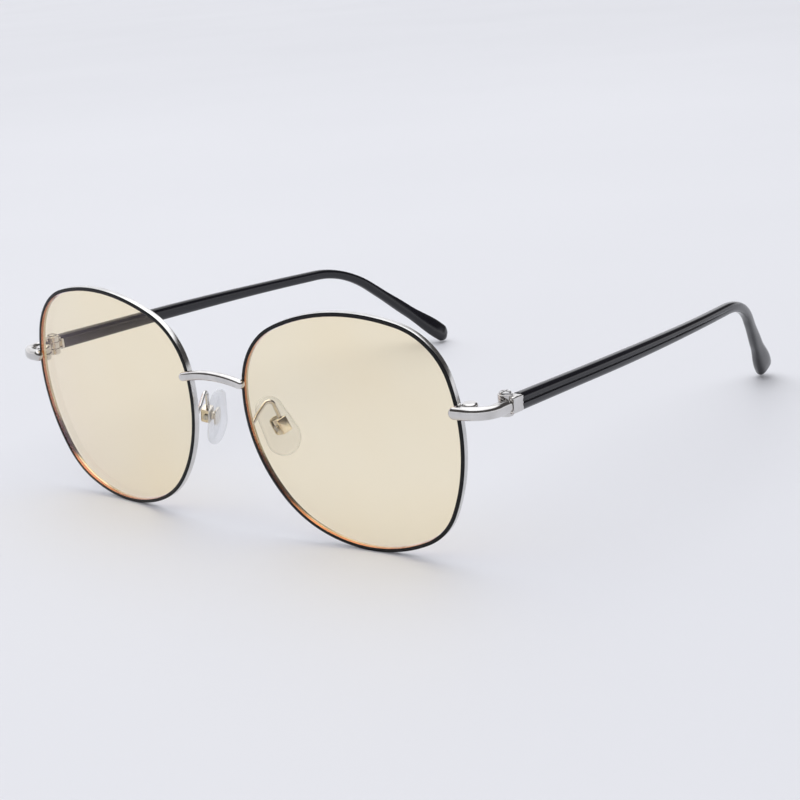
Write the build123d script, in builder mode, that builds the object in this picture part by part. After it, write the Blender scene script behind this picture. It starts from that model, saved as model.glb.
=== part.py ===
from build123d import *
from math import cos, pi, radians, sin
import os

# Full-rim metal glasses, standing open on the rim bottoms and the temple tips.
# X across the face (+X is the wearer's left), Y back along the temples, +Z up, millimetres.
# The origin is on the surface the glasses stand on, in the middle of their footprint.
# The left half is modelled and mirrored across the YZ plane.

os.makedirs("parts", exist_ok=True)

# ---- where the front sits ----
FRONT_Y = -74.61           # y of the front, measured at the middle of the bridge
LENS_Z = 25.5              # height of the lens centres
LENS_X = 35.2              # half the distance between the lens centres
WRAP = 5.0                 # each lens turned back at its temple side, degrees
LEAN = 3.9                 # top of the front leaning forward, degrees
BASE_RADIUS = 156.0        # sphere that lens and rim follow

# ---- lens shape: four long arcs and the radii that blend them ----
CORNERS = [(-24.7, 16.4), (-16.6, -20.2), (17.8, -19.8), (19.4, 19.7)]
SIDE_MIDS = [(-26.7, -3.2), (0.7, -25.3), (24.0, -0.3), (-3.1, 24.1)]
CORNER_RADII = [16.0, 22.5, 14.6, 15.3]

# ---- rim wire and lens ----
RIM_WIDTH = 0.8
RIM_DEPTH = 1.4
RIM_SLIT = 0.3
GROOVE_DEPTH = 0.28
GROOVE_WIDTH = 0.5
GROOVE_INSET = 0.45        # from the rim front to the groove
LENS_THICKNESS = 1.5
LENS_INSET = 0.12          # lens face behind the rim front
LENS_GAP = 0.05            # lens body to the rim's inner wall
BEVEL_GAP = 0.07           # each way, between bevel and groove

# ---- bridge ----
BRIDGE_HALF_SPAN = 8.0
BRIDGE_END_Z = 8.0
BRIDGE_ARCH = 0.9
BRIDGE_HEIGHT = 2.0
BRIDGE_THICKNESS = 1.8
BRIDGE_Y = -1.25
BRIDGE_EDGE = 0.8

# ---- end piece, carried over the rim and bent back to the hinge ----
BAR_HEIGHT = 2.6
BAR_THICKNESS = 1.9
BAR_START = (58.35, 2.65)
BAR_CORNER = (65.3, 3.5)
BAR_BEND = 5.4
BAR_NOSE = 1.3             # rounding of the front end seen from the front
BAR_END_Y = 11.0
BAR_Z = 6.75
BAR_EDGE = 0.85
TEMPLE_DROP = 2.0          # temple line falling towards the back, degrees

# ---- rim lock ----
LOCK_X, LOCK_Y = 60.15, 5.75
LOCK_RADIUS = 1.6
LOCK_TOP, LOCK_SPLIT, LOCK_BOTTOM = 8.15, 6.3, 4.9
LOCK_SCREW_RADIUS = 0.5
LOCK_ROUND = 0.6
LOCK_FOOT_WIDTH, LOCK_FOOT_HEIGHT = 2.0, 1.3
LOCK_THREAD = 1.4
LOCK_HEAD_RADIUS = 0.9
LOCK_HEAD_DEPTH = 0.7
SCREW_GAP = 0.02

# ---- hinge ----
HINGE_X, HINGE_Y = 64.0, 12.0
HINGE_RADIUS = 1.5
HINGE_BOTTOM = 4.3
LUG_HEIGHT = 1.35          # top and bottom lugs, on the front
MID_LUG_HEIGHT = 1.5       # middle lug, on the temple
LUG_GAP = 0.05
PLATE_LOW, PLATE_HIGH = 4.7, 7.6
HINGE_PLATE_LENGTH = 3.6
HINGE_PLATE_WIDTH = 1.4
HINGE_WEB = 1.8
HINGE_CLEAR = 1.58         # radius kept free round the hinge pin
PIN_RADIUS = 0.6
PIN_GAP = 0.03
PIN_HEAD_RADIUS = 1.2
PIN_HEAD_HEIGHT = 0.45
SLOT_WIDTH = 0.3
SLOT_DEPTH = 0.25

# ---- temple ----
CAP_HEIGHT = 3.3
CAP_THICKNESS = 2.5
CAP_GAP = 0.12             # mitre gap when the temple is open
CAP_EDGE = 0.8
TEMPLE_POINTS = [(65.2, 14.4, 6.45), (65.7, 52, 5.15), (64.9, 84, 3.95), (61.6, 117.0, 2.5),
                 (51.3, 150.2, -24.13)]
TEMPLE_RADII = [600, 500, 33]
SLEEVE_SIZES = [(0, 3.6, 2.7), (0.2, 3.4, 2.65), (0.6, 2.75, 2.45), (0.7, 2.5, 2.4),
                (0.8, 2.8, 2.4), (0.9, 3.6, 2.6), (0.96, 5.6, 3.0), (0.985, 5.4, 2.8),
                (1, 3.6, 1.8)]       # share of the temple line, height, thickness
TIP_TWIST = 28.0               # the flat tip leans outwards at its top, degrees
TWIST_SPAN = (0.72, 0.92)      # shares of the line between which it turns
SLEEVE_STEPS = 40
SLEEVE_EDGE = 0.9              # corner rounding as a share of half the thinner side
CORE_RADIUS = 0.55
CORE_SHARE = 0.75              # how far the core wire reaches down the last run

# ---- nose pads ----
PAD_CENTRE = (8.6, 8.0, -3.4)
PAD_UP = (-0.326, -0.209, 0.92)
PAD_FACE = (-0.913, 0.331, -0.24)
PAD_TOP_RADIUS, PAD_TOP_OFFSET = 3.2, 3.5
PAD_LOW_RADIUS, PAD_LOW_OFFSET = 4.0, 2.8
PAD_THICKNESS = 1.7
PAD_EDGE = 0.7
PAD_PIVOT = 2.15               # screw axis behind the middle of the pad
PLATE_LENGTH, PLATE_WIDTH, PLATE_THICKNESS, PLATE_FRONT = 4.2, 2.6, 0.5, 0.2
STEM_LENGTH, STEM_WIDTH = 1.7, 1.0
BOX_LENGTH, BOX_WIDTH, BOX_DEPTH, BOX_WALL = 3.3, 2.4, 2.1, 0.5
BOX_MOUTH = 1.35
PAD_SCREW_RADIUS = 0.35
PAD_SCREW_GAP = 0.03
PAD_HEAD_RADIUS, PAD_HEAD_HEIGHT = 0.65, 0.4
ARM_RADIUS = 0.45
ARM_POINTS = [(8.05, 1.42, -0.9), (8.1, 2.6, 0.3), (9.1, 6.1, 3.7), (10.4, 7.2, -1.6)]
ARM_BENDS = [1.0, 1.3]

BASE = (Align.CENTER, Align.CENTER, Align.MIN)


def at(x, y, z):
    """A point given from the middle of the front, at lens centre height."""
    return Vector(x, y + FRONT_Y, z + LENS_Z)


def turned(direction):
    """A direction of the lens frame after the wrap and the lean."""
    return Vector(direction).rotate(Axis.Z, WRAP).rotate(Axis.X, LEAN)


lens_plane = Plane(origin=at(LENS_X, 0, 0), x_dir=turned((1, 0, 0)), z_dir=turned((0, -1, 0)))
sphere_centre = lens_plane.origin + turned((0, BASE_RADIUS, 0))


def lens_face(grow):
    """The lens shape, grown all round from the middle of the rim's front line."""
    with BuildSketch(Plane.XY) as shape:
        with BuildLine():
            for k, middle in enumerate(SIDE_MIDS):
                ThreePointArc(CORNERS[k], middle, CORNERS[(k + 1) % 4])
        make_face()
        for corner, radius in zip(CORNERS, CORNER_RADII):
            fillet(shape.vertices().sort_by_distance(Vector(*corner))[0], radius)
        offset(amount=grow, kind=Kind.ARC)
    with BuildSketch(Plane.XY) as arcs_only:
        with BuildLine():
            for edge in shape.edges():
                ThreePointArc(edge @ 0, edge @ 0.5, edge @ 1)
        make_face()
    return arcs_only.sketch


def lens_prism(grow):
    """A straight prism of the lens shape, deep enough for the whole base curve."""
    with BuildPart() as prism:
        with BuildSketch(lens_plane.offset(3)):
            add(lens_face(grow))
        extrude(amount=-12)
    return prism.part


def lens_slab(grow, front, depth):
    """The lens shape between two spheres, the first of them behind the rim front."""
    with BuildPart() as slab:
        add(lens_prism(grow))
        with Locations(sphere_centre):
            Sphere(BASE_RADIUS - front, mode=Mode.INTERSECT)
            Sphere(BASE_RADIUS - front - depth, mode=Mode.SUBTRACT)
    return slab.part


def across(line, share):
    """The plane square to a line, with its X axis level and pointing outwards."""
    heading = line.wire() % share
    return Plane(origin=line.wire() @ share, x_dir=heading.cross(Vector(0, 0, 1)), z_dir=heading)


def sleeve_size(share):
    """Height and thickness of the sleeve at a share of the temple line."""
    for (low, *size), (high, *next_size) in zip(SLEEVE_SIZES, SLEEVE_SIZES[1:]):
        if share <= high:
            ease = (1 - cos(pi * (share - low) / (high - low))) / 2
            return [a + (b - a) * ease for a, b in zip(size, next_size)]


# ---- lens: thin body on the base curve with a bevel that sits in the rim groove ----
groove_floor = GROOVE_DEPTH - RIM_WIDTH / 2
with BuildPart() as lens:
    add(lens_slab(-RIM_WIDTH / 2 - LENS_GAP, LENS_INSET, LENS_THICKNESS))
    add(lens_slab(groove_floor - BEVEL_GAP, GROOVE_INSET + BEVEL_GAP, GROOVE_WIDTH - 2 * BEVEL_GAP))

# ---- rim: one bent wire with a groove inside and a slit at the lock ----
with BuildPart() as rim:
    add(lens_slab(RIM_WIDTH / 2, 0, RIM_DEPTH))
    add(lens_prism(-RIM_WIDTH / 2), mode=Mode.SUBTRACT)
    add(lens_slab(groove_floor, GROOVE_INSET, GROOVE_WIDTH), mode=Mode.SUBTRACT)
    with Locations(at(LOCK_X, LOCK_Y, LOCK_SPLIT)):
        Box(4, 6, RIM_SLIT, mode=Mode.SUBTRACT)

# ---- bridge: arched round bar whose ends lie over the rims ----
bridge_plane = Plane(origin=at(0, BRIDGE_Y, 0), x_dir=(1, 0, 0), z_dir=(0, -1, 0))
with BuildPart() as bridge:
    with BuildSketch(bridge_plane.offset(-BRIDGE_THICKNESS / 2)):
        with BuildLine(mode=Mode.PRIVATE) as arch:
            ThreePointArc((-BRIDGE_HALF_SPAN, BRIDGE_END_Z), (0, BRIDGE_END_Z + BRIDGE_ARCH),
                          (BRIDGE_HALF_SPAN, BRIDGE_END_Z))
        SlotArc(arch.edge(), BRIDGE_HEIGHT)
    extrude(amount=BRIDGE_THICKNESS)
    fillet(bridge.faces().sort_by(Axis.Y)[0].edges(), BRIDGE_EDGE)
    fillet(bridge.faces().sort_by(Axis.Y)[-1].edges(), BRIDGE_EDGE)
    add(rim.part, mode=Mode.SUBTRACT)
    add(mirror(rim.part, about=Plane.YZ), mode=Mode.SUBTRACT)

# ---- end piece: flat bar bent back round the lens, falling at the temple's slope ----
slope = radians(TEMPLE_DROP)
bar_plane = Plane(origin=at(0, BAR_START[1], BAR_Z - BAR_HEIGHT / 2), x_dir=(1, 0, 0),
                  z_dir=(0, sin(slope), cos(slope)))
bar_run = [(BAR_START[0], 0), (BAR_CORNER[0], BAR_CORNER[1] - BAR_START[1]),
           (BAR_CORNER[0], BAR_END_Y - BAR_START[1] + BAR_THICKNESS)]
bar_nose_x = BAR_START[0] - BAR_THICKNESS / 2 + BAR_NOSE
with BuildPart() as bar_trim:
    with Locations(at(bar_nose_x, BAR_START[1], BAR_Z)):
        Box(2 * BAR_NOSE, 2 * BAR_THICKNESS, 2 * BAR_HEIGHT, align=(Align.MAX, Align.CENTER, Align.CENTER))
        Cylinder(BAR_NOSE, 2 * BAR_THICKNESS, rotation=(90, 0, 0), mode=Mode.SUBTRACT)
with BuildPart() as end_piece:
    with BuildSketch(bar_plane):
        with BuildLine(mode=Mode.PRIVATE) as run:
            FilletPolyline(*bar_run, radius=BAR_BEND)
        SlotArc(run.wire(), BAR_THICKNESS)
    extrude(amount=BAR_HEIGHT)
    split(bisect_by=Plane(origin=at(0, BAR_END_Y, 0), z_dir=(0, 1, 0)), keep=Keep.BOTTOM)
    for face in (end_piece.faces().sort_by(Axis.Z)[0], end_piece.faces().sort_by(Axis.Z)[-1]):
        fillet(face.edges().sort_by(Axis.Y)[:-1], BAR_EDGE)
    with Locations(at(HINGE_X, HINGE_Y, BAR_Z)):
        Cylinder(HINGE_CLEAR, 2 * BAR_HEIGHT, mode=Mode.SUBTRACT)
    add(bar_trim.part, mode=Mode.SUBTRACT)
    add(rim.part, mode=Mode.SUBTRACT)
    add(lens_slab(-RIM_WIDTH / 2, 0, LENS_THICKNESS), mode=Mode.SUBTRACT)

# ---- rim lock: two barrels that close the rim, pulled together by a screw from below ----
lock_foot_y = BAR_START[1] + BAR_THICKNESS / 2
with BuildPart() as rim_lock_upper:
    with Locations(at(LOCK_X, LOCK_Y, LOCK_SPLIT + RIM_SLIT / 2)):
        Cylinder(LOCK_RADIUS, LOCK_TOP - LOCK_SPLIT - RIM_SLIT / 2, align=BASE)
    fillet(rim_lock_upper.edges().sort_by(Axis.Z)[-1], LOCK_ROUND)
    with Locations(at(LOCK_X, lock_foot_y, LOCK_SPLIT + RIM_SLIT / 2)):
        Box(LOCK_FOOT_WIDTH, LOCK_Y - lock_foot_y, LOCK_FOOT_HEIGHT,
            align=(Align.CENTER, Align.MIN, Align.MIN))
    add(lens_prism(RIM_WIDTH / 2), mode=Mode.SUBTRACT)
    add(end_piece.part, mode=Mode.SUBTRACT)
    with Locations(at(LOCK_X, LOCK_Y, LOCK_SPLIT)):
        Cylinder(LOCK_SCREW_RADIUS, LOCK_THREAD, align=BASE, mode=Mode.SUBTRACT)
with BuildPart() as rim_lock_lower:
    with Locations(at(LOCK_X, LOCK_Y, LOCK_BOTTOM)):
        Cylinder(LOCK_RADIUS, LOCK_SPLIT - RIM_SLIT / 2 - LOCK_BOTTOM, align=BASE)
        Cylinder(LOCK_HEAD_RADIUS, LOCK_HEAD_DEPTH, align=BASE, mode=Mode.SUBTRACT)
        Cylinder(LOCK_SCREW_RADIUS, LOCK_TOP, align=BASE, mode=Mode.SUBTRACT)
    add(lens_prism(RIM_WIDTH / 2), mode=Mode.SUBTRACT)
with BuildPart() as rim_screw:
    with Locations(at(LOCK_X, LOCK_Y, LOCK_BOTTOM)):
        Cylinder(LOCK_HEAD_RADIUS - SCREW_GAP, LOCK_HEAD_DEPTH, align=BASE)
        Cylinder(LOCK_SCREW_RADIUS - SCREW_GAP, LOCK_SPLIT + LOCK_THREAD - LOCK_BOTTOM, align=BASE)
        Box(2 * LOCK_HEAD_RADIUS, SLOT_WIDTH, 2 * SLOT_DEPTH, mode=Mode.SUBTRACT)

# ---- hinge: two lugs and a plate on the end piece, one lug and a plate on the temple ----
mid_lug_z = HINGE_BOTTOM + LUG_HEIGHT + LUG_GAP
top_lug_z = mid_lug_z + MID_LUG_HEIGHT + LUG_GAP
hinge_top = top_lug_z + LUG_HEIGHT
bar_inside = BAR_CORNER[0] - BAR_THICKNESS / 2
with BuildPart() as hinge_front:
    with Locations(at(HINGE_X, HINGE_Y, HINGE_BOTTOM), at(HINGE_X, HINGE_Y, top_lug_z)):
        Cylinder(HINGE_RADIUS, LUG_HEIGHT, align=BASE)
    with Locations(at(bar_inside, HINGE_Y, PLATE_LOW)):
        Box(HINGE_PLATE_WIDTH, HINGE_PLATE_LENGTH, PLATE_HIGH - PLATE_LOW,
            align=(Align.MAX, Align.MAX, Align.MIN))
    with Locations(at(HINGE_X, HINGE_Y, HINGE_BOTTOM + LUG_HEIGHT)):
        Cylinder(HINGE_CLEAR, top_lug_z - HINGE_BOTTOM - LUG_HEIGHT, align=BASE,
                 mode=Mode.SUBTRACT)
    with Locations(at(HINGE_X, HINGE_Y, HINGE_BOTTOM)):
        Cylinder(PIN_RADIUS, hinge_top - HINGE_BOTTOM, align=BASE, mode=Mode.SUBTRACT)
    with Locations(at(HINGE_X, HINGE_Y, hinge_top)):
        Cylinder(PIN_RADIUS + PIN_GAP, LUG_HEIGHT, mode=Mode.SUBTRACT)
    add(end_piece.part, mode=Mode.SUBTRACT)
with BuildPart() as hinge_screw:
    with Locations(at(HINGE_X, HINGE_Y, HINGE_BOTTOM)):
        Cylinder(PIN_RADIUS, hinge_top - HINGE_BOTTOM, align=BASE)
    with Locations(at(HINGE_X, HINGE_Y, hinge_top)):
        Cylinder(PIN_HEAD_RADIUS, PIN_HEAD_HEIGHT, align=BASE)
    fillet(hinge_screw.edges().sort_by(Axis.Z)[-1], PIN_HEAD_HEIGHT / 2)
    with Locations(at(HINGE_X, HINGE_Y, hinge_top + PIN_HEAD_HEIGHT)):
        Box(2 * PIN_HEAD_RADIUS, SLOT_WIDTH, 2 * SLOT_DEPTH, mode=Mode.SUBTRACT)
        Box(SLOT_WIDTH, 2 * PIN_HEAD_RADIUS, 2 * SLOT_DEPTH, mode=Mode.SUBTRACT)

# ---- temple cap: the metal ferrule that closes against the end piece ----
with BuildLine() as temple_line:
    FilletPolyline(*[at(*point) for point in TEMPLE_POINTS], radius=TEMPLE_RADII)
cap_end = Vector(*TEMPLE_POINTS[0])
with BuildPart() as temple_cap:
    with BuildSketch(across(temple_line, 0)):
        RectangleRounded(CAP_THICKNESS, CAP_HEIGHT, CAP_EDGE)
    extrude(amount=BAR_END_Y + CAP_GAP - cap_end.Y)
    with Locations(at(HINGE_X, HINGE_Y, BAR_Z)):
        Cylinder(HINGE_CLEAR, 2 * CAP_HEIGHT, mode=Mode.SUBTRACT)
with BuildPart() as hinge_temple:
    with Locations(at(HINGE_X, HINGE_Y, mid_lug_z)):
        Cylinder(HINGE_RADIUS, MID_LUG_HEIGHT, align=BASE)
        Box(HINGE_WEB, cap_end.Y - HINGE_Y - CAP_GAP, MID_LUG_HEIGHT,
            align=(Align.CENTER, Align.MIN, Align.MIN))
        Cylinder(PIN_RADIUS + PIN_GAP, MID_LUG_HEIGHT, align=BASE, mode=Mode.SUBTRACT)
    with Locations(at(cap_end.X - CAP_THICKNESS / 2, cap_end.Y - CAP_GAP,
                      mid_lug_z + MID_LUG_HEIGHT / 2)):
        Box(HINGE_PLATE_WIDTH, cap_end.Y - HINGE_Y - HINGE_CLEAR, MID_LUG_HEIGHT + LUG_HEIGHT / 2,
            align=(Align.MAX, Align.MAX, Align.CENTER))
    add(temple_cap.part, mode=Mode.SUBTRACT)

# ---- temple: black sleeve over a metal core wire ----
core_end = Vector(*TEMPLE_POINTS[-1]) * CORE_SHARE + Vector(*TEMPLE_POINTS[-2]) * (1 - CORE_SHARE)
with BuildLine() as core_line:
    FilletPolyline(*[at(*point) for point in TEMPLE_POINTS[:-1]], at(*core_end),
                   radius=TEMPLE_RADII)
with BuildPart() as temple_core:
    with BuildSketch(across(core_line, 0)):
        Circle(CORE_RADIUS)
    sweep(path=core_line.wire())
with BuildPart() as temple_sleeve:
    for step in range(SLEEVE_STEPS + 1):
        share = step / SLEEVE_STEPS
        height, thickness = sleeve_size(share)
        turn = TIP_TWIST * min(1, max(0, (share - TWIST_SPAN[0]) / (TWIST_SPAN[1] - TWIST_SPAN[0])))
        with BuildSketch(across(temple_line, share)):
            RectangleRounded(thickness, height, SLEEVE_EDGE * thickness / 2, rotation=turn)
    loft()
    add(temple_core.part, mode=Mode.SUBTRACT)

# ---- nose pad, its inlaid plate, the box that holds it, the screw and the arm ----
pad_plane = Plane(origin=at(*PAD_CENTRE), x_dir=Vector(PAD_UP).cross(Vector(PAD_FACE)),
                  z_dir=PAD_FACE)
pivot_plane = pad_plane.offset(-PAD_PIVOT)
with BuildPart() as pad_insert:
    with BuildSketch(pad_plane.offset(PLATE_FRONT)):
        RectangleRounded(PLATE_WIDTH, PLATE_LENGTH, PLATE_WIDTH * 0.4)
    extrude(amount=-PLATE_THICKNESS)
    with BuildSketch(pad_plane):
        Rectangle(STEM_WIDTH, STEM_LENGTH)
    extrude(amount=-PAD_PIVOT - STEM_LENGTH / 3)
    with Locations(pivot_plane):
        Cylinder(PAD_SCREW_RADIUS + PAD_SCREW_GAP, BOX_WIDTH, rotation=(0, 90, 0),
                 mode=Mode.SUBTRACT)
with BuildPart() as nose_pad:
    with BuildSketch(pad_plane.offset(PAD_THICKNESS / 2)):
        with Locations((0, PAD_TOP_OFFSET)):
            Circle(PAD_TOP_RADIUS)
        with Locations((0, -PAD_LOW_OFFSET)):
            Circle(PAD_LOW_RADIUS)
        make_hull()
    extrude(amount=-PAD_THICKNESS)
    fillet(nose_pad.edges(), PAD_EDGE)
    add(pad_insert.part, mode=Mode.SUBTRACT)
with BuildPart() as box_blank:
    with BuildSketch(pad_plane.offset(-BOX_MOUTH)):
        RectangleRounded(BOX_WIDTH, BOX_LENGTH, BOX_WALL)
    extrude(amount=-BOX_DEPTH)
with BuildPart() as pad_box:
    add(box_blank.part)
    with BuildSketch(pad_plane.offset(-BOX_MOUTH)):
        Rectangle(BOX_WIDTH - 2 * BOX_WALL, BOX_LENGTH - 2 * BOX_WALL)
    extrude(amount=-BOX_DEPTH + BOX_WALL, mode=Mode.SUBTRACT)
    with Locations(pivot_plane):
        Cylinder(PAD_SCREW_RADIUS, 2 * BOX_WIDTH, rotation=(0, 90, 0), mode=Mode.SUBTRACT)
with BuildPart() as pad_screw:
    with Locations(pivot_plane):
        Cylinder(PAD_SCREW_RADIUS, BOX_WIDTH, rotation=(0, 90, 0))
        with Locations((BOX_WIDTH / 2 + PAD_HEAD_HEIGHT / 2, 0, 0)):
            Cylinder(PAD_HEAD_RADIUS, PAD_HEAD_HEIGHT, rotation=(0, 90, 0))
        with Locations((BOX_WIDTH / 2 + PAD_HEAD_HEIGHT, 0, 0)):
            Box(SLOT_DEPTH, 2 * PAD_HEAD_RADIUS, SLOT_WIDTH / 2, mode=Mode.SUBTRACT)
with BuildLine() as arm_line:
    FilletPolyline(*[at(*point) for point in ARM_POINTS], radius=ARM_BENDS)
with BuildPart() as pad_arm:
    with BuildSketch(across(arm_line, 0)):
        Circle(ARM_RADIUS)
    sweep(path=arm_line.wire())
    add(rim.part, mode=Mode.SUBTRACT)
    add(lens.part, mode=Mode.SUBTRACT)
    add(box_blank.part, mode=Mode.SUBTRACT)

# ---- the bridge, then every other piece for the left and mirrored for the right ----
pieces = {
    "rim": rim, "lens": lens, "rim_lock_upper": rim_lock_upper,
    "rim_lock_lower": rim_lock_lower, "rim_screw": rim_screw, "end_piece": end_piece,
    "hinge_front": hinge_front, "hinge_temple": hinge_temple, "hinge_screw": hinge_screw,
    "temple_cap": temple_cap, "temple_core": temple_core, "temple_sleeve": temple_sleeve,
    "pad_arm": pad_arm, "pad_box": pad_box, "pad_insert": pad_insert,
    "nose_pad": nose_pad, "pad_screw": pad_screw,
}
bridge.part.label = "bridge"
export_step(bridge.part, "parts/bridge.step")
for name, piece in pieces.items():
    with BuildPart() as twin:
        mirror(piece.part, about=Plane.YZ)
    for side, solid in (("left", piece.part), ("right", twin.part)):
        solid.label = f"{name}_{side}"
        export_step(solid, f"parts/{name}_{side}.step")
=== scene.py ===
from math import acos, atan2, cos, hypot, pi, radians, sin, sqrt, tan

import bpy
from mathutils import Matrix, Vector


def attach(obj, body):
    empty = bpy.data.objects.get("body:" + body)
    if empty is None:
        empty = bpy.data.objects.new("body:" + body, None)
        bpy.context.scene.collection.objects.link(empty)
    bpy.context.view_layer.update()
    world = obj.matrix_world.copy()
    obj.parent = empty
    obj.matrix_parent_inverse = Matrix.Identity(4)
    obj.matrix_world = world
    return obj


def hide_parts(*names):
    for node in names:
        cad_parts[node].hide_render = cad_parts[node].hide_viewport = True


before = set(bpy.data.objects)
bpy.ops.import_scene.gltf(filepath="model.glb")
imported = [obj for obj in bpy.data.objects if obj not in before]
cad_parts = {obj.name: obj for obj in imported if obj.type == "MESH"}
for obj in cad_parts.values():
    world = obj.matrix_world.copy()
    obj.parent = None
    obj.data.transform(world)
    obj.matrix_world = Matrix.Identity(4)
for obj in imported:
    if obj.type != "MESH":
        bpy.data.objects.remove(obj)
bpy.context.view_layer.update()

MM = 0.001

# ---- sizes in millimetres, from the middle of the front at lens centre height ----
FRONT_Y, LENS_Z, LENS_X = -74.61, 25.5, 35.2
WRAP, LEAN, BASE_RADIUS = 5.0, 3.9, 156.0
CORNERS = [(-24.7, 16.4), (-16.6, -20.2), (17.8, -19.8), (19.4, 19.7)]
SIDE_MIDS = [(-26.7, -3.2), (0.7, -25.3), (24.0, -0.3), (-3.1, 24.1)]
CORNER_RADII = [16.0, 22.5, 14.6, 15.3]
RIM_WIDTH, RIM_DEPTH, RIM_EDGE = 0.8, 1.4, 0.13
COPPER_DEPTH, ENAMEL_WRAP = 0.75, 0.32
LENS_THICKNESS, LENS_INSET, LENS_GAP = 1.5, 0.12, 0.05
SLOPE = radians(2.0)
BRIDGE_REACH, BRIDGE_END_Z, BRIDGE_TOP_Z, BRIDGE_HALF = 8.0, 8.0, 8.9, 1.0
END_Y, END_Z, END_HALF_WIDTH, END_HALF_HEIGHT = 2.65, 6.75, 0.95, 1.3
END_START_X, END_SIDE_X, END_DOME_X, END_DOME_LENGTH = 58.35, 65.3, 58.7, 1.3
LOCK_X, LOCK_Y, LOCK_RADIUS = 60.15, 5.75, 1.6
HINGE_X, HINGE_Y, HINGE_BOTTOM, HINGE_RADIUS = 64.0, 12.0, 4.3, 1.5
LUG_HEIGHT, TOP_LUG = 1.35, 7.25
CAP_INNER_X, CAP_OUTER_X, CAP_FRONT_Y, CAP_BACK_Y = 63.98, 66.45, 11.14, 14.4
CAP_Z, CAP_HALF_HEIGHT, CAP_HOLLOW = 6.45, 1.65, 1.58
TEMPLE_POINTS = [(65.2, 14.4, 6.45), (65.7, 52, 5.15), (64.9, 84, 3.95), (61.6, 117.0, 2.5),
                 (51.3, 150.2, -24.13)]
TEMPLE_RADII = [600, 500, 33]
SLEEVE_SIZES = [(0, 3.6, 2.67), (0.2, 3.4, 2.62), (0.6, 2.75, 2.45), (0.7, 2.5, 2.4),
                (0.8, 2.8, 2.4), (0.88, 3.5, 2.6), (0.965, 5.4, 3.0), (0.985, 5.3, 2.8),
                (1, 4.6, 2.4)]
TIP_TWIST, TWIST_SPAN, TIP_ROUND = 28.0, (0.72, 0.92), 0.984
GROOVE_DEPTH, GROOVE_HALF_WIDTH, GROOVE_END, GROOVE_FADE = 0.3, 0.2, 0.66, 0.2
PAD_TOP_Y, PAD_TOP_RADIUS, PAD_LOW_Y, PAD_LOW_RADIUS = 3.5, 3.2, -2.8, 4.0
BOX_HALF_WIDTH, BOX_HALF_LENGTH, ARM_RADIUS = 1.2, 1.65, 0.45


def at(x, y, z):
    return Vector((x, y + FRONT_Y, z + LENS_Z))


# ---- mesh helpers ----
def skin(rings, loop=False):
    """Quads between equal closed rings; the end rings are filled unless they meet."""
    count = len(rings[0])
    verts = [point for ring in rings for point in ring]
    faces = []
    for k in range(len(rings) - (0 if loop else 1)):
        a, b = k * count, (k + 1) % len(rings) * count
        for i in range(count):
            j = (i + 1) % count
            faces.append((a + i, a + j, b + j, b + i))
    if not loop:
        last = (len(rings) - 1) * count
        faces.append(tuple(reversed(range(count))))
        faces.append(tuple(range(last, last + count)))
    return verts, faces


def inset(points, distance):
    """An anticlockwise outline moved inwards, corners kept mitred."""
    moved = []
    for k, (x, y) in enumerate(points):
        (px, py), (nx, ny) = points[k - 1], points[(k + 1) % len(points)]
        la, lb = hypot(x - px, y - py), hypot(nx - x, ny - y)
        ax, ay = (py - y) / la, (x - px) / la
        bx, by = (y - ny) / lb, (nx - x) / lb
        scale = distance / max(0.3, 1 + ax * bx + ay * by)
        moved.append((x + (ax + bx) * scale, y + (ay + by) * scale))
    return moved


def prism(points, place, low, high, round_low, round_high=None, steps=5, tall=1.0):
    """An outline raised from low to high with both edges rounded, tall times as high as deep."""
    round_high = round_low if round_high is None else round_high
    turns = [pi / 2 * k / steps for k in range(steps + 1)]
    layers = [(low + round_low * tall * (1 - cos(t)), round_low * (1 - sin(t))) for t in turns]
    layers += [(high - round_high * tall * (1 - sin(t)), round_high * (1 - cos(t))) for t in turns]
    return skin([[place(x, y, level) for x, y in inset(points, shrink)]
                 for level, shrink in layers])


def disc(x, y, radius, count=40):
    return [(x + radius * cos(2 * pi * k / count), y + radius * sin(2 * pi * k / count))
            for k in range(count)]


def arc(x, y, radius, start, end, count, ends=True):
    """Points on an arc in count steps, with or without its two ends."""
    turns = [start + (end - start) * k / count for k in range(count + 1)]
    return [(x + radius * cos(turn), y + radius * sin(turn))
            for turn in (turns if ends else turns[1:-1])]


def rounded_rect(x0, y0, x1, y1, radius, steps=6):
    points = []
    for cx, cy, start in ((x1 - radius, y1 - radius, 0), (x0 + radius, y1 - radius, 90),
                          (x0 + radius, y0 + radius, 180), (x1 - radius, y0 + radius, 270)):
        for k in range(steps + 1):
            turn = radians(start + 90 * k / steps)
            points.append((cx + radius * cos(turn), cy + radius * sin(turn)))
    return points


def rounded_path(points, radii, step):
    """A run of points with its corners turned into arcs, sampled about every step."""
    points = [Vector(p) for p in points]
    path = [points[0]]
    for before, corner, after, radius in zip(points, points[1:], points[2:], radii):
        a, b = (before - corner).normalized(), (after - corner).normalized()
        half = acos(max(-1, min(1, a.dot(b)))) / 2
        reach = radius / tan(half)
        start, end = corner + a * reach, corner + b * reach
        centre = corner + (a + b).normalized() * (radius / sin(half))
        count = max(2, int((pi - 2 * half) * radius / step))
        sweep = pi - 2 * half
        for k in range(count + 1):
            near, far = sin(sweep * (1 - k / count)), sin(sweep * k / count)
            path.append(centre + ((start - centre) * near + (end - centre) * far) / sin(sweep))
    path.append(points[-1])
    full = [path[0]]
    for a, b in zip(path, path[1:]):
        parts = max(1, int((b - a).length / step))
        full += [a.lerp(b, (k + 1) / parts) for k in range(parts)]
    return full


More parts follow.
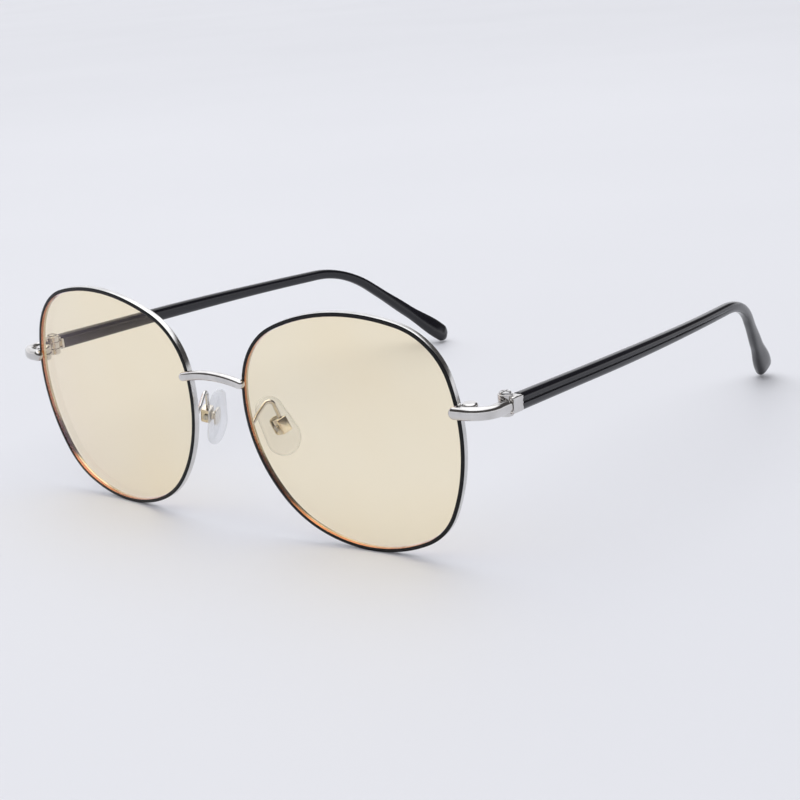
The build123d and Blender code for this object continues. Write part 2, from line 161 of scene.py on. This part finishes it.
def frames(path):
    """(point, outward, up, heading, share) along a path."""
    lengths = [0]
    for a, b in zip(path, path[1:]):
        lengths.append(lengths[-1] + (b - a).length)
    found = []
    for k, point in enumerate(path):
        heading = (path[min(k + 1, len(path) - 1)] - path[max(k - 1, 0)]).normalized()
        outward = heading.cross(Vector((0, 0, 1))).normalized()
        found.append((point, outward, outward.cross(heading), heading, lengths[k] / lengths[-1]))
    return found


def tube(path, radius, count=16):
    """A round wire along a path with domed ends."""
    spots = frames(path)
    rings = []
    ends = [pi / 2 * k / 4 for k in range(4)]
    for turn in ends:
        rings.append((spots[0], -radius * cos(turn), radius * max(0.05, sin(turn))))
    rings += [(spot, 0, radius) for spot in spots]
    for turn in reversed(ends):
        rings.append((spots[-1], radius * cos(turn), radius * max(0.05, sin(turn))))
    return skin([[point + heading * shift + outward * (size * cos(2 * pi * k / count))
                  + up * (size * sin(2 * pi * k / count)) for k in range(count)]
                 for (point, outward, up, heading, _), shift, size in rings])


# ---- materials ----
def material(name):
    made = bpy.data.materials.new(name)
    made.use_nodes = True
    nodes, links = made.node_tree.nodes, made.node_tree.links
    shader = nodes["Principled BSDF"]
    coordinates = nodes.new("ShaderNodeTexCoord")
    return made, nodes, links, shader, coordinates


def noise(nodes, links, coordinates, scale, detail=3, stretch=(1, 1, 1)):
    mapping = nodes.new("ShaderNodeMapping")
    mapping.inputs["Scale"].default_value = stretch
    texture = nodes.new("ShaderNodeTexNoise")
    texture.inputs["Scale"].default_value = scale
    texture.inputs["Detail"].default_value = detail
    links.new(coordinates.outputs["Object"], mapping.inputs["Vector"])
    links.new(mapping.outputs["Vector"], texture.inputs["Vector"])
    return texture.outputs["Fac"]


def ramp(nodes, links, value, stops):
    made = nodes.new("ShaderNodeValToRGB")
    elements = made.color_ramp.elements
    while len(elements) < len(stops):
        elements.new(0.5)
    for element, (place, color) in zip(elements, stops):
        element.position = place
        element.color = (*color, 1)
    links.new(value, made.inputs["Fac"])
    return made.outputs["Color"]


def grey(value):
    return (value, value, value)


def solid(name, dark, light, rough, metallic, scale, bump, bump_scale, gloss=0.5,
          stretch=(1, 1, 1)):
    """Base colour and roughness that drift over the surface, with a fine bump."""
    made, nodes, links, shader, coordinates = material(name)
    drift = noise(nodes, links, coordinates, scale, stretch=stretch)
    links.new(ramp(nodes, links, drift, [(0.3, dark), (0.7, light)]), shader.inputs["Base Color"])
    wear = noise(nodes, links, coordinates, scale * 3.1, 5)
    links.new(ramp(nodes, links, wear, [(0.3, grey(rough[0])), (0.75, grey(rough[1]))]),
              shader.inputs["Roughness"])
    shader.inputs["Metallic"].default_value = metallic
    shader.inputs["Specular IOR Level"].default_value = gloss
    relief = nodes.new("ShaderNodeBump")
    relief.inputs["Strength"].default_value = bump
    relief.inputs["Distance"].default_value = 0.00002
    links.new(noise(nodes, links, coordinates, bump_scale, 4, stretch), relief.inputs["Height"])
    links.new(relief.outputs["Normal"], shader.inputs["Normal"])
    return made


def clear(name, tint_stops, tint_scale, body, body_share, gloss, edge, shine_share):
    """A thin clear part: tinted see-through, a little body colour, and a coloured reflection."""
    made, nodes, links, shader, coordinates = material(name)
    drift = noise(nodes, links, coordinates, tint_scale, 2)
    through = nodes.new("ShaderNodeBsdfTransparent")
    links.new(ramp(nodes, links, drift, tint_stops), through.inputs["Color"])
    shader.inputs["Base Color"].default_value = (*body, 1)
    shader.inputs["Roughness"].default_value = 0.06
    facing = nodes.new("ShaderNodeLayerWeight")
    facing.inputs["Blend"].default_value = 0.5
    power = nodes.new("ShaderNodeMath")
    power.operation = "POWER"
    power.inputs[1].default_value = 5
    links.new(facing.outputs["Facing"], power.inputs[0])
    mixed, final = nodes.new("ShaderNodeMixShader"), nodes.new("ShaderNodeMixShader")
    for value, low, high, target in ((facing.outputs["Facing"], body_share, edge, mixed),
                                     (power.outputs["Value"], shine_share, 1, final)):
        share = nodes.new("ShaderNodeMapRange")
        share.inputs["To Min"].default_value = low
        share.inputs["To Max"].default_value = high
        links.new(value, share.inputs["Value"])
        links.new(share.outputs["Result"], target.inputs["Fac"])
    links.new(through.outputs["BSDF"], mixed.inputs[1])
    links.new(shader.outputs["BSDF"], mixed.inputs[2])
    shine = nodes.new("ShaderNodeBsdfAnisotropic")
    shine.inputs["Color"].default_value = (*gloss, 1)
    shine.inputs["Roughness"].default_value = 0.03
    links.new(mixed.outputs["Shader"], final.inputs[1])
    links.new(shine.outputs["BSDF"], final.inputs[2])
    links.new(final.outputs["Shader"], nodes["Material Output"].inputs["Surface"])
    return made


SILVER = solid("polished_silver", (0.60, 0.585, 0.57), (0.76, 0.745, 0.73), (0.07, 0.16), 1, 300,
               0.25, 2500)
SILVER_SIDE = solid("rim_side_silver", (0.60, 0.595, 0.585), (0.74, 0.73, 0.72), (0.14, 0.26), 1,
                    260, 0.3, 2200)
STEEL = solid("screw_steel", (0.50, 0.50, 0.50), (0.68, 0.67, 0.66), (0.16, 0.3), 1, 500, 0.5,
              3000)
ENAMEL = solid("black_enamel", (0.003, 0.003, 0.004), (0.007, 0.007, 0.008), (0.10, 0.2), 0,
               220, 0.2, 1800, gloss=0.25)
COPPER = solid("copper_wall", (0.42, 0.17, 0.09), (0.62, 0.30, 0.17), (0.18, 0.32), 1, 180, 0.3,
               1500)
SLEEVE = solid("black_acetate", (0.005, 0.005, 0.008), (0.010, 0.010, 0.015), (0.08, 0.16), 0,
               90, 0.12, 900, gloss=0.5, stretch=(1, 0.3, 1))
GOLD = solid("pad_fitting_metal", (0.66, 0.60, 0.50), (0.86, 0.80, 0.68), (0.10, 0.2), 1, 400,
             0.3, 2600)
CORE = solid("core_wire_steel", (0.42, 0.42, 0.43), (0.6, 0.6, 0.6), (0.25, 0.4), 1, 400, 0.4,
             2000, stretch=(1, 0.1, 1))
LENS = clear("tinted_lens", [(0.3, (1.0, 0.943, 0.81)), (0.7, (1.0, 0.957, 0.842))], 30,
             (1.0, 0.93, 0.78), 0.005, (0.84, 0.74, 1.0), 0.02, 0.013)
PAD = clear("clear_silicone", [(0.3, (0.965, 0.968, 0.972)), (0.7, (0.99, 0.992, 0.995))], 200,
            (0.85, 0.87, 0.88), 0.02, (0.95, 0.95, 1.0), 0.5, 0.02)


# ---- pieces: made once for the left and mirrored for the right ----
def faced(verts, faces):
    """The faces, turned so that they look out of the closed shape."""
    volume = sum(verts[face[0]].cross(verts[face[k]]).dot(verts[face[k + 1]])
                 for face in faces for k in range(1, len(face) - 1))
    return faces if volume > 0 else [tuple(reversed(face)) for face in faces]


def piece(name, body, parts, nodes, sharp=35, sides=("left", "right")):
    """parts is a list of (verts, faces, material or a material for each face)."""
    for side in sides:
        flip = -1 if side == "right" else 1
        verts, faces, marks, slots = [], [], [], []
        for part_verts, part_faces, look in parts:
            base = len(verts)
            verts += [(v[0] * flip * MM, v[1] * MM, v[2] * MM) for v in part_verts]
            looks = look if isinstance(look, list) else [look] * len(part_faces)
            for face, one in zip(faced(part_verts, part_faces), looks):
                order = face if flip > 0 else tuple(reversed(face))
                faces.append(tuple(base + i for i in order))
                if one not in slots:
                    slots.append(one)
                marks.append(slots.index(one))
        suffix = f"_{side}" if len(sides) == 2 else ""
        mesh = bpy.data.meshes.new(name + suffix)
        mesh.from_pydata(verts, [], faces)
        for one in slots:
            mesh.materials.append(one)
        mesh.polygons.foreach_set("material_index", marks)
        mesh.polygons.foreach_set("use_smooth", [True] * len(faces))
        mesh.update()
        mesh.validate()
        mesh.set_sharp_from_angle(angle=radians(sharp))
        made = bpy.data.objects.new("v_" + name + suffix, mesh)
        bpy.context.scene.collection.objects.link(made)
        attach(made, body + (suffix if body != "front" else ""))
        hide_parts(*[node + suffix for node in nodes])


# ---- lens outline: four long arcs joined by tangent corner arcs ----
def circle_through(a, b, c):
    ax, ay, bx, by, cx, cy = *a, *b, *c
    d = 2 * (ax * (by - cy) + bx * (cy - ay) + cx * (ay - by))
    a2, b2, c2 = ax * ax + ay * ay, bx * bx + by * by, cx * cx + cy * cy
    x = (a2 * (by - cy) + b2 * (cy - ay) + c2 * (ay - by)) / d
    y = (a2 * (cx - bx) + b2 * (ax - cx) + c2 * (bx - ax)) / d
    return x, y, hypot(ax - x, ay - y)


def lens_outline(step):
    """((x, y), (normal x, normal y)) round the lens, anticlockwise from the temple side."""
    arcs = [circle_through(CORNERS[k], SIDE_MIDS[k], CORNERS[(k + 1) % 4]) for k in range(4)]
    blends = []
    for k, radius in enumerate(CORNER_RADII):
        (x0, y0, r0), (x1, y1, r1) = arcs[k - 1], arcs[k]
        gap = hypot(x1 - x0, y1 - y0)
        a, b = r0 - radius, r1 - radius
        along = (a * a - b * b + gap * gap) / (2 * gap)
        off = sqrt(max(0, a * a - along * along))
        ux, uy = (x1 - x0) / gap, (y1 - y0) / gap
        options = [(x0 + ux * along - uy * off * s, y0 + uy * along + ux * off * s)
                   for s in (1, -1)]
        blends.append(min(options, key=lambda p: hypot(p[0] - CORNERS[k][0],
                                                       p[1] - CORNERS[k][1])))
    runs = []
    for k, (x, y, radius) in enumerate(arcs):
        near, far = blends[k], blends[(k + 1) % 4]
        start, end = atan2(near[1] - y, near[0] - x), atan2(far[1] - y, far[0] - x)
        after = arcs[(k + 1) % 4]
        leave = atan2(far[1] - after[1], far[0] - after[0])
        runs.append((x, y, radius, start, end))
        runs.append((far[0], far[1], CORNER_RADII[(k + 1) % 4], end, leave))
    found = []
    for x, y, radius, start, end in runs:
        while end < start:
            end += 2 * pi
        count = max(3, int((end - start) * radius / step))
        for k in range(count):
            turn = start + (end - start) * k / count
            found.append(((x + radius * cos(turn), y + radius * sin(turn)), (cos(turn), sin(turn))))
    return found


def lens_point(x, y, depth):
    """A point of the lens frame, so deep behind the rim's front sphere."""
    back = BASE_RADIUS - sqrt((BASE_RADIUS - depth) ** 2 - x * x - y * y)
    wrap, lean = radians(WRAP), radians(LEAN)
    px, py = x * cos(wrap) - back * sin(wrap), x * sin(wrap) + back * cos(wrap)
    return at(px + LENS_X, py * cos(lean) - y * sin(lean), py * sin(lean) + y * cos(lean))


outline = lens_outline(0.45)

# ---- rim: black face, silver outside, copper inside ----
half, edge = RIM_WIDTH / 2, RIM_EDGE
section = []
for across, depth, start in ((half - edge, RIM_DEPTH - edge, 0),
                             (-half + edge, RIM_DEPTH - edge, 90),
                             (-half + edge, edge, 180), (half - edge, edge, 270)):
    for k in range(4):
        turn = radians(start + 30 * k)
        section.append((across + edge * cos(turn), depth + edge * sin(turn)))
    if start == 90:
        section.append((-half, COPPER_DEPTH))
rings = [[lens_point(x + nx * across, y + ny * across, depth) for across, depth in section]
         for (x, y), (nx, ny) in outline]
verts, faces = skin([list(reversed(ring)) for ring in rings], loop=True)
looks = []
count = len(section)
for _ in rings:
    for i in range(count):
        near, far = section[count - 1 - i], section[count - 1 - (i + 1) % count]
        across, depth = (near[0] + far[0]) / 2, (near[1] + far[1]) / 2
        if depth < edge * 0.9 or (depth < ENAMEL_WRAP and across > 0):
            looks.append(ENAMEL)
        elif across < -half + edge * 0.9 and depth < COPPER_DEPTH:
            looks.append(COPPER)
        else:
            looks.append(SILVER_SIDE)
piece("rim", "front", [(verts, faces, looks)], ["rim"])

# ---- lens: a closed curved solid, front and back skins joined at the rim ----
rows = [0.02 + 0.98 * share for share in (0.0, 0.25, 0.5, 0.7, 0.85, 0.95, 1.0)]
shrink = -RIM_WIDTH / 2 - LENS_GAP
border = [(x + nx * shrink, y + ny * shrink) for (x, y), (nx, ny) in outline]


def lens_rings(depth, shares):
    return [[lens_point(x * share, y * share, depth) for x, y in border] for share in shares]


front_rings = lens_rings(LENS_INSET, rows)
back_rings = lens_rings(LENS_INSET + LENS_THICKNESS, list(reversed(rows)))
verts, faces = skin(front_rings + back_rings)
piece("lens", "front", [(verts, faces, LENS)], ["lens"])


# ---- bridge ----
def bridge_place(x, y, level):
    return at(x, -level, y)


_, centre_z, arch_radius = circle_through((-BRIDGE_REACH, BRIDGE_END_Z), (0, BRIDGE_TOP_Z),
                                          (BRIDGE_REACH, BRIDGE_END_Z))
low = atan2(BRIDGE_END_Z - centre_z, BRIDGE_REACH)
bar = arc(0, centre_z, arch_radius + BRIDGE_HALF, low, pi - low, 32)
bar += arc(-BRIDGE_REACH, BRIDGE_END_Z, BRIDGE_HALF, pi - low, 2 * pi - low, 12, ends=False)
bar += arc(0, centre_z, arch_radius - BRIDGE_HALF, pi - low, low, 32)
bar += arc(BRIDGE_REACH, BRIDGE_END_Z, BRIDGE_HALF, pi + low, 2 * pi + low, 12, ends=False)
verts, faces = prism(bar, bridge_place, 0.35, 2.15, 0.8, steps=8)
piece("bridge", "front", [(verts, faces, SILVER)], ["bridge"], sides=("left",))

# ---- end piece: bent bar, its front end domed ----
def bar_place(x, y, level):
    """A point of the end piece's plane, which slopes as the temple does."""
    return at(x, END_Y + y * cos(SLOPE) + level * sin(SLOPE),
              END_Z - y * sin(SLOPE) + level * cos(SLOPE))


run = frames(rounded_path([(END_START_X, 0, 0), (END_SIDE_X, 0.85, 0), (END_SIDE_X, 8.35, 0)],
                          [5.4], 0.3))
inner, outer = [[(point.x + outward.x * shift, point.y + outward.y * shift)
                 for point, outward, *_ in run] for shift in (-END_HALF_WIDTH, END_HALF_WIDTH)]
start, heading = run[0][0], run[0][3]
turn = atan2(-heading.y, -heading.x) - pi / 2
nose = arc(start.x, start.y, END_HALF_WIDTH, turn, turn + pi, 12, ends=False)
verts, faces = prism(outer + inner[::-1] + nose, bar_place, -END_HALF_HEIGHT, END_HALF_HEIGHT,
                     0.8, steps=9, tall=1.45)
middle = END_Z + LENS_Z
for k, vert in enumerate(verts):
    short = END_DOME_X - vert.x
    if short > 0:
        room = sqrt(max(0.04, 1 - (short / END_DOME_LENGTH) ** 2))
        verts[k] = Vector((vert.x, vert.y, middle + (vert.z - middle) * room))
piece("end_piece", "front", [(verts, faces, SILVER)], ["end_piece"])


# ---- rim lock barrels ----
def level_place(x, y, level):
    return at(x, y, level)


verts, faces = prism(disc(LOCK_X, LOCK_Y, LOCK_RADIUS), level_place, 6.45, 8.15, 0.12, 0.6)
foot = prism(rounded_rect(59.3, 3.6, 61.1, 5.6, 0.2), level_place, 6.46, 7.7, 0.12)
piece("rim_lock_upper", "front", [(verts, faces, SILVER), (*foot, SILVER)], ["rim_lock_upper"])
verts, faces = prism(disc(LOCK_X, LOCK_Y, LOCK_RADIUS), level_place, 4.9, 6.15, 0.2, 0.12)
piece("rim_lock_lower", "front", [(verts, faces, SILVER)], ["rim_lock_lower"])

# ---- hinge: the front half's lugs and plates, the temple half's middle lug ----
lugs = [prism(disc(HINGE_X, HINGE_Y, HINGE_RADIUS), level_place, low, low + LUG_HEIGHT,
              0.15) for low in (HINGE_BOTTOM, TOP_LUG)]
plates = [prism(rounded_rect(63.0, 8.45, 64.34, 10.6, 0.25), level_place, 4.72, 7.2, 0.2),
          prism(rounded_rect(63.0, 9.6, 64.34, 12.0, 0.2), level_place, 4.74, 5.62, 0.12)]
piece("hinge_front", "front", [(*part, SILVER) for part in lugs + plates], ["hinge_front"])
middle = [prism(disc(HINGE_X, HINGE_Y, HINGE_RADIUS), level_place, 5.7, 7.2, 0.12),
          prism(rounded_rect(63.12, 12.0, 64.88, 14.26, 0.2), level_place, 5.71, 7.19, 0.12),
          prism(rounded_rect(62.6, 13.6, 63.94, 14.26, 0.15), level_place, 5.38, 7.53, 0.12)]
piece("hinge_temple", "temple", [(*part, SILVER) for part in middle], ["hinge_temple"])

# ---- temple cap: hollowed round the hinge in plan ----
cap = [(CAP_OUTER_X, CAP_FRONT_Y), (CAP_OUTER_X, CAP_BACK_Y), (CAP_INNER_X, CAP_BACK_Y),
       (CAP_INNER_X, 13.58)]
cap += arc(HINGE_X, HINGE_Y, CAP_HOLLOW, radians(90), radians(-30), 14)
cap.append((65.46, CAP_FRONT_Y))


def cap_place(x, y, level):
    ahead = CAP_BACK_Y - y
    return at(x - ahead * 0.013, y + level * sin(SLOPE), CAP_Z + ahead * sin(SLOPE) + level)


verts, faces = prism(cap, cap_place, -CAP_HALF_HEIGHT, CAP_HALF_HEIGHT, 0.4, steps=6)
piece("temple_cap", "temple", [(verts, faces, SILVER)], ["temple_cap"])


# ---- sleeve: rounded oblong section, a fine groove outside, the tip twisted and domed ----
def sleeve_size(share):
    for (low, *size), (high, *after) in zip(SLEEVE_SIZES, SLEEVE_SIZES[1:]):
        if share <= high:
            ease = (1 - cos(pi * (share - low) / (high - low))) / 2
            return [a + (b - a) * ease for a, b in zip(size, after)]
    return SLEEVE_SIZES[-1][1:]


temple_path = rounded_path([at(*p) for p in TEMPLE_POINTS], TEMPLE_RADII, 0.6)
rings = []
TURNS = sorted([pi * k / 24 for k in range(-24, 24)]
               + [radians(sign * t) for t in (1.2, 2.6, 4.2) for sign in (-1, 1)])
for point, outward, up, _, share in frames(temple_path):
    height, thickness = sleeve_size(share)
    groove = GROOVE_DEPTH * min(1, max(0, (GROOVE_END - share) / GROOVE_FADE))
    twisted = (share - TWIST_SPAN[0]) / (TWIST_SPAN[1] - TWIST_SPAN[0])
    swing = radians(TIP_TWIST) * min(1, max(0, twisted))
    end = max(0, (share - TIP_ROUND) / (1 - TIP_ROUND))
    shrink = max(0.12, sqrt(1 - end * end))
    ring = []
    for turn in TURNS:
        c, s = cos(turn), sin(turn)
        u = thickness / 2 * abs(c) ** (2 / 2.8) * (1 if c > 0 else -1)
        v = height / 2 * abs(s) ** (2 / 2.5) * (1 if s > 0 else -1)
        if c > 0:
            u -= groove * max(0, 1 - (v / GROOVE_HALF_WIDTH) ** 2)
        u, v = u * cos(swing) + v * sin(swing), v * cos(swing) - u * sin(swing)
        ring.append(point + (outward * u + up * v) * shrink)
    rings.append(ring)
verts, faces = skin([list(reversed(ring)) for ring in rings])
piece("temple_sleeve", "temple", [(verts, faces, SLEEVE)], ["temple_sleeve"],
      sharp=50)

# ---- nose pad ----
PAD_CENTRE = Vector((8.6, 8.0, -3.4))
PAD_UP = Vector((-0.326, -0.209, 0.92))
PAD_FACE = Vector((-0.913, 0.331, -0.24)).normalized()
PAD_SIDE = PAD_UP.cross(PAD_FACE).normalized()
PAD_UP = PAD_FACE.cross(PAD_SIDE)


def pad_place(x, y, level):
    return at(*(PAD_CENTRE + PAD_SIDE * x + PAD_UP * y + PAD_FACE * level))


swing = acos((PAD_LOW_RADIUS - PAD_TOP_RADIUS) / (PAD_TOP_Y - PAD_LOW_Y))
pad = arc(0, PAD_TOP_Y, PAD_TOP_RADIUS, pi / 2 - swing, pi / 2 + swing, 24)
pad += arc(0, PAD_LOW_Y, PAD_LOW_RADIUS, pi / 2 + swing, pi * 5 / 2 - swing, 24)
verts, faces = prism(pad, pad_place, -0.85, 0.85, 0.7, steps=7)
piece("nose_pad", "pad", [(verts, faces, PAD)], ["nose_pad"])
plate = prism(rounded_rect(-1.3, -2.1, 1.3, 2.1, 1.04), pad_place, -0.3, 0.2, 0.12)
stem = prism(rounded_rect(-0.5, -0.85, 0.5, 0.85, 0.2), pad_place, -2.7, -0.3, 0.15)
piece("pad_insert", "pad", [(*plate, GOLD), (*stem, GOLD)], ["pad_insert"])
wide, long = BOX_HALF_WIDTH, BOX_HALF_LENGTH
walls = [prism(rounded_rect(x0, y0, x1, y1, 0.15), pad_place, -3.4, -1.36, 0.12)
         for x0, y0, x1, y1 in ((-wide, -long, -0.72, long), (0.72, -long, wide, long),
                                (-1.1, -long, 1.1, -1.16), (-1.1, 1.16, 1.1, long))]
walls.append(prism(rounded_rect(-wide, -long, wide, long, 0.5), pad_place, -3.45, -2.96, 0.15))
piece("pad_box", "front", [(*wall, GOLD) for wall in walls], ["pad_box"])

# ---- pad arm ----
arm_path = rounded_path([at(8.05, 1.42, -0.9), at(8.1, 2.6, 0.3), at(9.1, 6.1, 3.7),
                         at(10.4, 7.2, -1.6)], [1.0, 1.3], 0.2)
verts, faces = tube(arm_path, ARM_RADIUS)
piece("pad_arm", "front", [(verts, faces, SILVER)], ["pad_arm"])

# ---- carried-over nodes ----
for side in ("left", "right"):
    for node, look in (("hinge_screw", STEEL), ("rim_screw", STEEL), ("pad_screw", STEEL),
                       ("temple_core", CORE)):
        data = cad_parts[f"{node}_{side}"].data
        data.materials.clear()
        data.materials.append(look)


# ---- stage: floor, light, camera ----
def plane(name, size, height):
    mesh = bpy.data.meshes.new(name)
    mesh.from_pydata([(-size, -size, height), (size, -size, height), (size, size, height),
                      (-size, size, height)], [], [(0, 1, 2, 3)])
    made = bpy.data.objects.new(name, mesh)
    bpy.context.scene.collection.objects.link(made)
    return made


floor = plane("floor", 12, 0)
floor_look, nodes, links, shader, coordinates = material("pale_floor")
links.new(ramp(nodes, links, noise(nodes, links, coordinates, 4, 2),
               [(0.3, (0.745, 0.75, 0.785)), (0.7, (0.765, 0.77, 0.805))]), shader.inputs["Base Color"])
shader.inputs["Roughness"].default_value = 0.6
floor.data.materials.append(floor_look)

world = bpy.data.worlds.new("studio")
bpy.context.scene.world = world
world.use_nodes = True
nodes, links = world.node_tree.nodes, world.node_tree.links
direction = nodes.new("ShaderNodeTexCoord")
height = nodes.new("ShaderNodeSeparateXYZ")
links.new(direction.outputs["Generated"], height.inputs["Vector"])
beside = nodes.new("ShaderNodeVectorMath")
beside.operation = "DOT_PRODUCT"
beside.inputs[1].default_value = (-0.9, 0.42, 0)
links.new(direction.outputs["Generated"], beside.inputs[0])
shade = nodes.new("ShaderNodeMath")
shade.operation = "MULTIPLY"
links.new(ramp(nodes, links, height.outputs["Z"],
               [(0.08, grey(0)), (0.2, grey(1)), (0.64, grey(1)), (0.74, grey(0))]), shade.inputs[0])
links.new(ramp(nodes, links, beside.outputs["Value"], [(0.5, grey(1)), (0.68, grey(0))]),
          shade.inputs[1])
sky = nodes.new("ShaderNodeMix")
sky.data_type = "RGBA"
links.new(shade.outputs["Value"], sky.inputs["Factor"])
links.new(ramp(nodes, links, height.outputs["Z"],
               [(0.45, (0.375, 0.378, 0.392)), (0.75, (0.56, 0.565, 0.58))]), sky.inputs["A"])
sky.inputs["B"].default_value = (0.03, 0.028, 0.028, 1)
links.new(sky.outputs["Result"], nodes["Background"].inputs["Color"])
nodes["Background"].inputs["Strength"].default_value = 2.7


def softbox(name, place, target, size, power):
    light = bpy.data.lights.new(name, "AREA")
    light.shape = "RECTANGLE"
    light.size, light.size_y = size
    light.energy = power
    made = bpy.data.objects.new(name, light)
    made.location = place
    made.rotation_euler = (Vector(target) - Vector(place)).to_track_quat("-Z", "Y").to_euler()
    bpy.context.scene.collection.objects.link(made)


softbox("top_softbox", (-0.2, 0.35, 0.9), (0, 0, 0), (0.9, 0.9), 0.8)

camera = bpy.data.cameras.new("camera")
camera.lens = 74.38  # solved with the eye's place and turn below
camera.sensor_width = 36
camera.clip_start = 0.01
camera.clip_end = 100
eye = bpy.data.objects.new("camera", camera)
eye.location = (0.2350, -0.2355 + FRONT_Y * MM, 0.0955 + LENS_Z * MM)
forward = Vector((-0.5973, 0.7527, -0.2770)).normalized()
up = Vector((-0.1079, 0.2668, 0.9577))
right = forward.cross(up).normalized()
up = right.cross(forward)
eye.rotation_euler = Matrix((right, up, -forward)).transposed().to_euler()
bpy.context.scene.collection.objects.link(eye)
bpy.context.scene.camera = eye
bpy.context.scene.view_settings.view_transform = "Standard"
